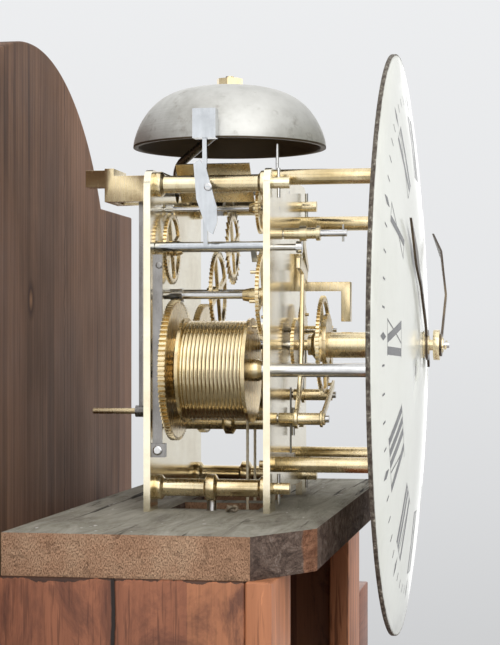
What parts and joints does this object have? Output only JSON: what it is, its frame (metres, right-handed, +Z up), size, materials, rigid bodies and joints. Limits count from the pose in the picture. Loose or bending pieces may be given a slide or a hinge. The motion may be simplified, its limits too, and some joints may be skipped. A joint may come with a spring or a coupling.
{
  "type": "longcase clock",
  "caption": "Tall weight-driven striking clock with its hood lifted off: slim case, seatboard, geared movement, domed dial, hands and bell",
  "frame": {"origin": "on the floor, under the middle of the clock's overall box", "axes": "+X to the right of someone facing the dial, +Y towards the back, +Z up"},
  "size_m": [0.444, 0.241, 1.865],
  "materials": {
    "oak_back": "worn dark brown stain",
    "mahogany": "worn shellac polish",
    "bare_pine": "unfinished, grey with age",
    "brass": "cleaned, satin",
    "steel": "polished",
    "bell_metal": "dull grey cast",
    "dial_paint": "gloss cream paint with black numerals",
    "iron": "blackened cast iron",
    "line": "twisted gut",
    "hand_brass": "polished"
  },
  "bodies": {
    "case": {"backboard": "oak_back", "trunk_cheeks": "mahogany", "front_stiles": "mahogany", "trunk_rails": "mahogany", "throat_moulding": "mahogany", "hood_runners": "mahogany", "waist_moulding": "mahogany", "base_panels": "mahogany", "plinth": "mahogany", "seatboard": "bare_pine", "hinge_brackets": "brass", "back_plate": "brass", "front_plate": "brass", "plate_pillars": "brass", "taper_pins": "steel", "seat_bolts": "steel", "dial": "dial_paint", "dial_feet": "brass", "bell": "bell_metal", "bell_stand": "steel", "back_cock": "brass", "front_studs": "steel", "motion_bridge": "brass", "strike_springs": "steel", "going_barrel_fall": "line", "going_fixed_fall": "line", "strike_barrel_fall": "line", "strike_fixed_fall": "line"},
    "door": {"trunk_door": "mahogany", "door_brasses": "brass"},
    "centre": {"centre_arbor": "brass", "cannon_pinion": "brass", "minute_hand": "hand_brass", "hand_collet": "brass"},
    "going_great": {"going_great_wheel": "brass"},
    "third": {"third_arbor": "brass"},
    "escape": {"escape_arbor": "brass"},
    "minute_wheel": {"minute_wheel": "brass"},
    "hour": {"hour_wheel": "brass", "hour_hand": "hand_brass"},
    "pallets": {"pallet_arbor": "steel", "crutch": "steel"},
    "going_barrel": {"going_barrel": "brass"},
    "going_weight": {"going_weight": "iron", "going_line_loop": "line"},
    "going_pulley": {"going_pulley": "brass"},
    "strike_barrel": {"strike_barrel": "brass"},
    "strike_weight": {"strike_weight": "iron", "strike_line_loop": "line"},
    "strike_pulley": {"strike_pulley": "brass"},
    "pin_wheel": {"pin_wheel_arbor": "brass"},
    "strike_great": {"strike_great_wheel": "brass"},
    "gathering": {"gathering_arbor": "brass", "gathering_pallet": "steel"},
    "warning": {"warning_arbor": "brass"},
    "fly": {"fly": "brass"},
    "hammer": {"hammer": "steel"},
    "rack": {"rack": "brass"},
    "rack_hook": {"rack_hook": "brass"},
    "lifting_piece": {"lifting_piece": "steel"}
  },
  "joints": [
    {"name": "door_hinge", "type": "hinge", "parent": "case", "child": "door", "pos_m": [0.1313, -0.0665, 0.975], "axis": [0, 0, 1], "range_deg": [0, 110]},
    {"name": "centre_turn", "type": "hinge", "parent": "case", "child": "centre", "pos_m": [0, -0.0025, 1.7], "axis": [0, 1, 0], "continuous": true},
    {"name": "going_great_turn", "type": "hinge", "parent": "case", "child": "going_great", "pos_m": [0.03622, 0.0188, 1.687], "axis": [0, 1, 0], "continuous": true},
    {"name": "third_turn", "type": "hinge", "parent": "case", "child": "third", "pos_m": [0.00327, -0.0025, 1.72871], "axis": [0, 1, 0], "continuous": true},
    {"name": "escape_turn", "type": "hinge", "parent": "case", "child": "escape", "pos_m": [0, -0.0025, 1.75307], "axis": [0, 1, 0], "continuous": true},
    {"name": "minute_wheel_turn", "type": "hinge", "parent": "case", "child": "minute_wheel", "pos_m": [0.02678, -0.0435, 1.70819], "axis": [0, 1, 0], "continuous": true},
    {"name": "hour_turn", "type": "hinge", "parent": "case", "child": "hour", "pos_m": [0, -0.0735, 1.7], "axis": [0, 1, 0], "continuous": true},
    {"name": "pallet_swing", "type": "hinge", "parent": "case", "child": "pallets", "pos_m": [0, -0.0025, 1.782], "axis": [0, 1, 0], "range_deg": [-3, 3]},
    {"name": "going_winding", "type": "hinge", "parent": "case", "child": "going_barrel", "pos_m": [0.03622, -0.0035, 1.687], "axis": [0, 1, 0], "range_deg": [0, 5040]},
    {"name": "going_weight_rise", "type": "slide", "parent": "case", "child": "going_weight", "axis": [0, 0, 1], "range_m": [0, 1.13474], "deforming": ["going_barrel_fall", "going_fixed_fall"]},
    {"name": "going_pulley_turn", "type": "hinge", "parent": "going_weight", "child": "going_pulley", "pos_m": [0.03372, -0.0145, 0.42326], "axis": [0, 1, 0], "range_deg": [0, 2790.39]},
    {"name": "strike_winding", "type": "hinge", "parent": "case", "child": "strike_barrel", "pos_m": [-0.0385, -0.0035, 1.687], "axis": [0, 1, 0], "range_deg": [-5040, 0]},
    {"name": "strike_weight_rise", "type": "slide", "parent": "case", "child": "strike_weight", "axis": [0, 0, 1], "range_m": [0, 1.13474], "deforming": ["strike_barrel_fall", "strike_fixed_fall"]},
    {"name": "strike_pulley_turn", "type": "hinge", "parent": "strike_weight", "child": "strike_pulley", "pos_m": [-0.036, -0.0145, 0.42326], "axis": [0, 1, 0], "range_deg": [-2790.39, 0]},
    {"name": "pin_wheel_turn", "type": "hinge", "parent": "case", "child": "pin_wheel", "pos_m": [-0.03372, -0.0025, 1.72595], "axis": [0, 1, 0], "continuous": true},
    {"name": "strike_great_turn", "type": "hinge", "parent": "case", "child": "strike_great", "pos_m": [-0.0385, 0.0188, 1.687], "axis": [0, 1, 0], "continuous": true},
    {"name": "gathering_turn", "type": "hinge", "parent": "case", "child": "gathering", "pos_m": [-0.02701, -0.0025, 1.75098], "axis": [0, 1, 0], "continuous": true},
    {"name": "warning_turn", "type": "hinge", "parent": "case", "child": "warning", "pos_m": [-0.03239, -0.0025, 1.77106], "axis": [0, 1, 0], "continuous": true},
    {"name": "fly_turn", "type": "hinge", "parent": "case", "child": "fly", "pos_m": [-0.03188, -0.0025, 1.78564], "axis": [0, 1, 0], "continuous": true},
    {"name": "hammer_swing", "type": "hinge", "parent": "case", "child": "hammer", "pos_m": [-0.052, -0.0025, 1.7504], "axis": [0, 1, 0], "range_deg": [-12, 0], "stiffness_Nm_per_rad": 0.06, "springref_deg": 17.19},
    {"name": "rack_drop", "type": "hinge", "parent": "case", "child": "rack", "pos_m": [-0.038, -0.0485, 1.662], "axis": [0, 1, 0], "range_deg": [-12.6, 0]},
    {"name": "rack_hook_lift", "type": "hinge", "parent": "case", "child": "rack_hook", "pos_m": [-0.02, -0.0445, 1.7585], "axis": [0, 1, 0], "range_deg": [-8, 0]},
    {"name": "lifting_swing", "type": "hinge", "parent": "case", "child": "lifting_piece", "pos_m": [0.014, -0.0435, 1.673], "axis": [0, 1, 0], "range_deg": [0, 4]}
  ],
  "couplings": [
    {"joint": "going_great_turn", "follows": "centre_turn", "ratio": -0.083333},
    {"joint": "third_turn", "follows": "centre_turn", "ratio": -7.5},
    {"joint": "escape_turn", "follows": "centre_turn", "ratio": 60},
    {"joint": "minute_wheel_turn", "follows": "centre_turn", "ratio": -1},
    {"joint": "hour_turn", "follows": "centre_turn", "ratio": 0.083333},
    {"joint": "going_winding", "follows": "going_weight_rise", "rad_per_m": 77.519},
    {"joint": "going_pulley_turn", "follows": "going_weight_rise", "rad_per_m": 42.918},
    {"joint": "strike_winding", "follows": "strike_weight_rise", "rad_per_m": -77.519},
    {"joint": "strike_pulley_turn", "follows": "strike_weight_rise", "rad_per_m": -42.918},
    {"joint": "strike_great_turn", "follows": "pin_wheel_turn", "ratio": -0.095238},
    {"joint": "gathering_turn", "follows": "pin_wheel_turn", "ratio": -8},
    {"joint": "warning_turn", "follows": "pin_wheel_turn", "ratio": 64},
    {"joint": "fly_turn", "follows": "pin_wheel_turn", "ratio": -512}
  ]
}
